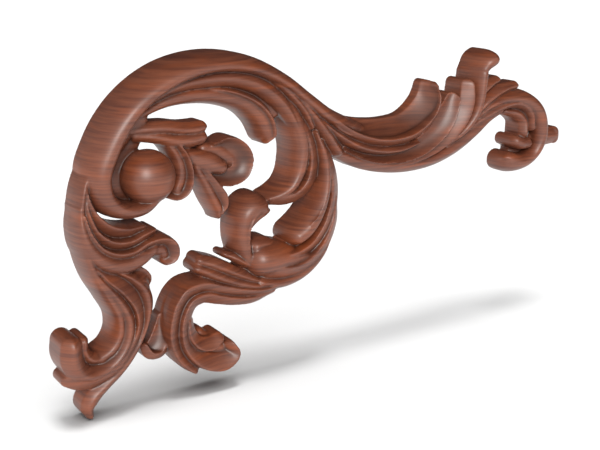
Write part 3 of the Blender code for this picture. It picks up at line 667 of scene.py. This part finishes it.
@dataclass(frozen=True)
class WoodFinish:
    """Walnut, carved, stained and sprayed with a satin lacquer.

    It gives the eye a reddish brown with level bands and short dark pores, under a wide soft sheen, and
    darker in the hollows, where shade is painted into the colour. Real pores are about 0.2 mm wide, too
    fine to show at the picture's scale, so they are drawn coarser.
    """
    ground: str = "51281b"
    grain: Streaks = Streaks("7a452f", 1.3 * MM, 42 * MM, 0.3, 0.7)
    flames: Streaks = Streaks("88421d", 7 * MM, 60 * MM, 0.5, 0.7, share=0.6)
    pores: Streaks = Streaks("3a1c10", 0.5 * MM, 12 * MM, 0.52, 0.78, share=0.5)
    # painted shade: the dark brown that the hollows are darkened to, standing in for the shade that falls
    # in them
    hollow: str = "351607"
    pore_depth: float = 0.2 * MM
    pore_bump: float = 0.12
    roughness: float = 0.46
    coat: float = 0.22
    coat_roughness: float = 0.32

    def material(self) -> bpy.types.Material:
        """Builds the material on Object coordinates, with the grain along X.

        Returns:
            The finished material.
        """
        made = bpy.data.materials.new("satin lacquered walnut")
        made.use_nodes = True
        tree = made.node_tree
        shader = tree.nodes["Principled BSDF"]
        place = add_node(tree, "ShaderNodeTexCoord", {}).outputs["Object"]
        # the hollow attribute says where shade is painted into the wood's colour
        painted_shade = add_node(tree, "ShaderNodeAttribute", {}, attribute_name=HOLLOW_SHADE).outputs["Fac"]
        pores = self.pores.amount(tree, place)
        # From the ground up: fine bands, broad reddish flames, dark pores, and painted shade in the hollows
        shown = colour(self.ground)
        for amount, tone in (
                (self.grain.amount(tree, place), self.grain.tone),
                (self.flames.amount(tree, place), self.flames.tone),
                (pores, self.pores.tone),
                (painted_shade, self.hollow)):
            layer = add_node(tree, "ShaderNodeMix", {
                MIX_FACTOR: amount, MIX_UNDER: shown, MIX_OVER: colour(tone)}, data_type="RGBA")
            shown = layer.outputs[MIX_RESULT]
        tree.links.new(shown, shader.inputs["Base Color"])
        shader.inputs["Roughness"].default_value = self.roughness
        shader.inputs["Coat Weight"].default_value = self.coat
        shader.inputs["Coat Roughness"].default_value = self.coat_roughness
        # The pores stay just open under the lacquer
        bump = add_node(tree, "ShaderNodeBump", {
            "Height": pores, "Strength": self.pore_bump, "Distance": self.pore_depth / self.pores.share},
            invert=True)
        tree.links.new(bump.outputs["Normal"], shader.inputs["Normal"])
        return made


@dataclass(frozen=True)
class Carving:
    """The whole carving: the lobes of every part, fused into one piece of wood."""
    parts: tuple[Part, ...]
    fineness: Fineness = Fineness()
    voxel: float = 0.55 * MM            # the grid on which the lobes are fused
    softening: float = 0.5              # how far one round of softening moves a point
    softenings: int = 5
    triangles: int = 190_000
    sharp_edge: float = 62.0            # degrees between faces past which an edge looks sharp
    flat_back: float = 0.995            # faces that look back at least this squarely are shaded flat
    hollow_rounds: int = 9
    full_shade_depth: float = 0.42 * MM     # depth at which a hollow gets the full painted shade

    def loose_lobes(self) -> bpy.types.Mesh:
        """One mesh of every part's lobes, each a closed tube with a cap at either end.

        Returns:
            The mesh, in metres on the board.
        """
        points, faces, used = [], [], 0
        for rings in (rings for part in self.parts for rings in part.bodies(self.fineness)):
            cuts, around = rings.shape[:2]
            numbers = np.arange(cuts * around).reshape(cuts, around) + used
            faces.extend((tube_quads(cuts, around) + used).tolist())
            faces.append(numbers[0, ::-1].tolist())
            faces.append(numbers[-1].tolist())
            points.append(to_board(rings).reshape(-1, 3))
            used += cuts * around
        data = bpy.data.meshes.new("lobes")
        data.from_pydata(np.concatenate(points).tolist(), [], faces)
        data.update()
        return data

    def fused(self, loose: bpy.types.Mesh) -> bpy.types.Mesh:
        """Fuses the lobes on a fine grid, softens the grid's steps, planes the back and thins the faces.

        Args:
            loose: the mesh of closed lobes.

        Returns:
            One closed skin, with its back in y = 0.
        """
        holder = bpy.data.objects.new("fusing", loose)
        bpy.context.scene.collection.objects.link(holder)
        grid = holder.modifiers.new("fuse", "REMESH")
        grid.mode = "VOXEL"
        grid.voxel_size = self.voxel
        soften = holder.modifiers.new("soften", "SMOOTH")
        soften.factor = self.softening
        soften.iterations = self.softenings
        fine = self.evaluated(holder)
        holder.modifiers.clear()
        holder.data = fine
        flat = np.empty(len(fine.vertices) * 3)
        fine.vertices.foreach_get("co", flat)
        flat[1::3] = np.minimum(flat[1::3], 0.0)
        fine.vertices.foreach_set("co", flat)
        thin = holder.modifiers.new("thin", "DECIMATE")
        thin.ratio = min(1.0, self.triangles / (2 * len(fine.polygons)))
        made = self.evaluated(holder)
        bpy.data.objects.remove(holder, do_unlink=True)
        return made

    @staticmethod
    def evaluated(holder: bpy.types.Object) -> bpy.types.Mesh:
        """The object's mesh with its modifiers applied."""
        graph = bpy.context.evaluated_depsgraph_get()
        return bpy.data.meshes.new_from_object(holder.evaluated_get(graph), depsgraph=graph)

    def shade(self, data: bpy.types.Mesh) -> None:
        """Shades the carving smooth, its back flat and its sharp edges sharp.

        Args:
            data: the fused mesh.
        """
        data.shade_smooth()
        data.set_sharp_from_angle(angle=np.radians(self.sharp_edge))
        normals = np.empty(len(data.polygons) * 3)
        data.polygons.foreach_get("normal", normals)
        data.polygons.foreach_set("use_smooth", normals[1::3] < self.flat_back)

    def mark_hollow_shade(self, data: bpy.types.Mesh) -> None:
        """Writes how deep each point lies in a hollow, from 0 to 1, as the mesh's hollow attribute, by
        which the finish paints shade into the wood.

        Each point is moved to the mean of its neighbours several times over. Where that lifts it along its
        normal it lies in a hollow, and the lift is the hollow's depth. The flat back has no hollows.

        Args:
            data: the fused mesh.
        """
        count = len(data.vertices)
        start = np.empty(count * 3)
        data.vertices.foreach_get("co", start)
        start = start.reshape(-1, 3)
        normals = np.empty(count * 3)
        data.vertex_normals.foreach_get("vector", normals)
        edges = np.empty(len(data.edges) * 2, dtype=np.int64)
        data.edges.foreach_get("vertices", edges)
        edges = edges.reshape(-1, 2)
        ends = np.concatenate((edges[:, 0], edges[:, 1]))
        others = np.concatenate((edges[:, 1], edges[:, 0]))
        neighbours = np.maximum(np.bincount(ends, minlength=count), 1)[:, None]
        moved = start.copy()
        for _ in range(self.hollow_rounds):
            moved = np.stack([np.bincount(ends, weights=moved[others, axis], minlength=count)
                              for axis in range(3)], axis=1) / neighbours
        lift = np.einsum("ij,ij->i", moved - start, normals.reshape(-1, 3))
        share = np.where(start[:, 1] < -self.voxel, np.clip(lift / self.full_shade_depth, 0, 1), 0.0)
        share = np.bincount(ends, weights=share[others], minlength=count) / neighbours[:, 0]
        layer = data.attributes.new(HOLLOW_SHADE, "FLOAT", "POINT")
        layer.data.foreach_set("value", share.astype(np.float32))

    def build(self, finish: WoodFinish) -> bpy.types.Object:
        """Makes the piece, lays it over the CAD node and gives it its finish.

        Args:
            finish: the wood and its lacquer.

        Returns:
            The finished piece.
        """
        data = self.fused(self.loose_lobes())
        data.name = "carved_applique"
        data.materials.clear()
        data.materials.append(finish.material())
        self.shade(data)
        self.mark_hollow_shade(data)
        piece = bpy.data.objects.new("carved_applique", data)
        bpy.context.scene.collection.objects.link(piece)
        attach(piece, "root")
        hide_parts("corner_applique")
        log.info("carving: %d triangles", sum(len(face.vertices) - 2 for face in data.polygons))
        return piece


@dataclass(frozen=True)
class FloorPaint:
    """Matt studio paint, a middle grey that the strong overhead light lifts to white.

    It gives the eye a plain white ground, on which shadows stay a clear soft grey.
    """
    shade: str = "a8a8a8"
    roughness: float = 0.9

    def material(self) -> bpy.types.Material:
        """Builds the material.

        Returns:
            The finished material.
        """
        made = bpy.data.materials.new("matt studio paint")
        made.use_nodes = True
        shader = made.node_tree.nodes["Principled BSDF"]
        shader.inputs["Base Color"].default_value = colour(self.shade)
        shader.inputs["Roughness"].default_value = self.roughness
        return made


@dataclass(frozen=True)
class Floor:
    """A plain floor just under the tip of the foot, in metres."""
    gap: float = 0.5 * MM
    reach: float = 8.0

    def build(self, paint: FloorPaint) -> bpy.types.Object:
        """Makes the floor.

        Args:
            paint: the floor's finish.

        Returns:
            The floor.
        """
        height = float(cad_box[0][2]) - self.gap
        ends = ((-1, -1), (1, -1), (1, 1), (-1, 1))
        corners = [(x * self.reach, y * self.reach, height) for x, y in ends]
        data = bpy.data.meshes.new("floor")
        data.from_pydata(corners, [], [(0, 1, 2, 3)])
        data.materials.append(paint.material())
        floor = bpy.data.objects.new("floor", data)
        bpy.context.scene.collection.objects.link(floor)
        log.info("floor at %.4f m", height)
        return floor


class Falls(Enum):
    """What a light falls on; either way the carving casts its shadow."""
    ON_CARVING = "carving"
    ON_FLOOR = "floor"


@dataclass(frozen=True)
class FarLight:
    """A large soft source far off, turned to the left of the board's front and raised, in degrees."""
    name: str
    falls: Falls
    turned: float
    raised: float
    spread: float
    strength: float
    tint: str = "fffaf6"

    def build(self, lit: dict[Falls, bpy.types.Collection]) -> bpy.types.Object:
        """Makes the light.

        Args:
            lit: the collection of pieces that each kind of light falls on.

        Returns:
            The light.
        """
        data = bpy.data.lights.new(self.name, "SUN")
        data.angle = np.radians(self.spread)
        data.energy = self.strength
        data.color = colour(self.tint)[:3]
        side, rise = np.radians(self.turned), np.radians(self.raised)
        towards = Vector((-np.sin(side) * np.cos(rise), -np.cos(side) * np.cos(rise), np.sin(rise)))
        lamp = bpy.data.objects.new(self.name, data)
        lamp.rotation_euler = towards.to_track_quat("Z", "Y").to_euler()
        lamp.light_linking.receiver_collection = lit[self.falls]
        bpy.context.scene.collection.objects.link(lamp)
        log.info("light %s falls on the %s", self.name, self.falls.value)
        return lamp


@dataclass(frozen=True)
class Studio:
    """Soft studio light: a key from the left, overhead light on the floor, and a brighter left side.

    The room's strength rises smoothly from dim_side to bright_side, as the cosine between a direction and
    bright_from goes from dim_until to bright_after.
    """
    lights: tuple[FarLight, ...] = (
        FarLight("key", Falls.ON_CARVING, 30.0, 24.0, 26.0, 3.1),
        FarLight("fill", Falls.ON_CARVING, -12.0, 20.0, 60.0, 0.5),
        FarLight("overhead", Falls.ON_FLOOR, 8.0, 84.0, 16.0, 3.6, "ffffff"),
        FarLight("overhead wide", Falls.ON_FLOOR, 0.0, 76.0, 76.0, 4.8, "ffffff"),
    )
    room: str = "ffffff"
    bright_from: tuple[float, float, float] = (-0.86, -0.4, -0.32)
    dim_until: float = -0.6
    bright_after: float = 0.9
    dim_side: float = 0.05
    bright_side: float = 0.7

    def build(self, carving: bpy.types.Object, floor: bpy.types.Object) -> None:
        """Makes the lights and the room's light, which fades from the left side to the right.

        Args:
            carving: the piece that the key and the fill fall on.
            floor: the floor that the overhead lights fall on.
        """
        lit = {}
        for falls, piece in ((Falls.ON_CARVING, carving), (Falls.ON_FLOOR, floor)):
            lit[falls] = bpy.data.collections.new("lit " + falls.value)
            lit[falls].objects.link(piece)
        for light in self.lights:
            light.build(lit)
        world = bpy.data.worlds.new("studio")
        world.use_nodes = True
        tree = world.node_tree
        direction = add_node(tree, "ShaderNodeTexCoord", {})
        nearness = add_node(tree, "ShaderNodeVectorMath", {
            0: direction.outputs["Generated"], 1: self.bright_from}, operation="DOT_PRODUCT")
        strength = add_node(tree, "ShaderNodeMapRange", {
            "Value": nearness.outputs["Value"], "From Min": self.dim_until, "From Max": self.bright_after,
            "To Min": self.dim_side, "To Max": self.bright_side}, interpolation_type="SMOOTHSTEP")
        background = tree.nodes["Background"]
        background.inputs["Color"].default_value = colour(self.room)
        tree.links.new(strength.outputs["Result"], background.inputs["Strength"])
        bpy.context.scene.world = world
        bpy.context.scene.view_settings.view_transform = "Standard"
        log.info("studio: %d lights, room %.2f to %.2f", len(self.lights), self.dim_side, self.bright_side)


@dataclass(frozen=True)
class PhotoCamera:
    """The photograph's camera.

    It stands at a place in the drawing's units from the drawing's lower left corner, turned to the right
    and lowered in degrees.
    """
    from_left: float = -175.3
    away: float = 527.8
    above_foot: float = 275.9
    turned: float = 33.2
    lowered: float = 16.1
    focal_pixels: float = 1037.0
    picture_width: float = 600.0
    sensor: float = 36.0
    nearest: float = 10 * MM

    def build(self) -> bpy.types.Object:
        """Makes the camera and makes it the scene's own.

        Returns:
            The camera.
        """
        data = bpy.data.cameras.new("photo")
        data.sensor_width = self.sensor
        data.lens = self.focal_pixels / self.picture_width * self.sensor
        data.clip_start = self.nearest
        yaw, pitch = np.radians(self.turned), np.radians(self.lowered)
        ahead = Vector((np.sin(yaw) * np.cos(pitch), np.cos(yaw) * np.cos(pitch), -np.sin(pitch)))
        right = Vector((np.cos(yaw), -np.sin(yaw), 0.0))
        up = right.cross(ahead)
        place = Vector((self.from_left * PLAN - FIXING_FROM_LEFT, -self.away * PLAN,
                        self.above_foot * PLAN - FIXING_FROM_FOOT))
        camera = bpy.data.objects.new("photo", data)
        turned = Matrix((right, up, -ahead)).transposed().to_4x4()
        camera.matrix_world = Matrix.Translation(place) @ turned
        bpy.context.scene.collection.objects.link(camera)
        bpy.context.scene.camera = camera
        log.info("camera: %.1f mm lens", data.lens)
        return camera


def main() -> None:
    """Builds every part of the scene in order."""
    logging.basicConfig(level=logging.INFO, format="%(name)s: %(message)s")
    PhotoCamera().build()
    carving = Carving(parts=(
        VoluteBand(), Leg(), Spray(), CentreLeaf(), RightScroll(), Tulip(),
        Arch(), InnerLeaves(), Junction(), Arm(), RightEnd(), Ball()))
    piece = carving.build(WoodFinish())
    floor = Floor().build(FloorPaint())
    Studio().build(piece, floor)


if __name__ == "__main__":
    main()
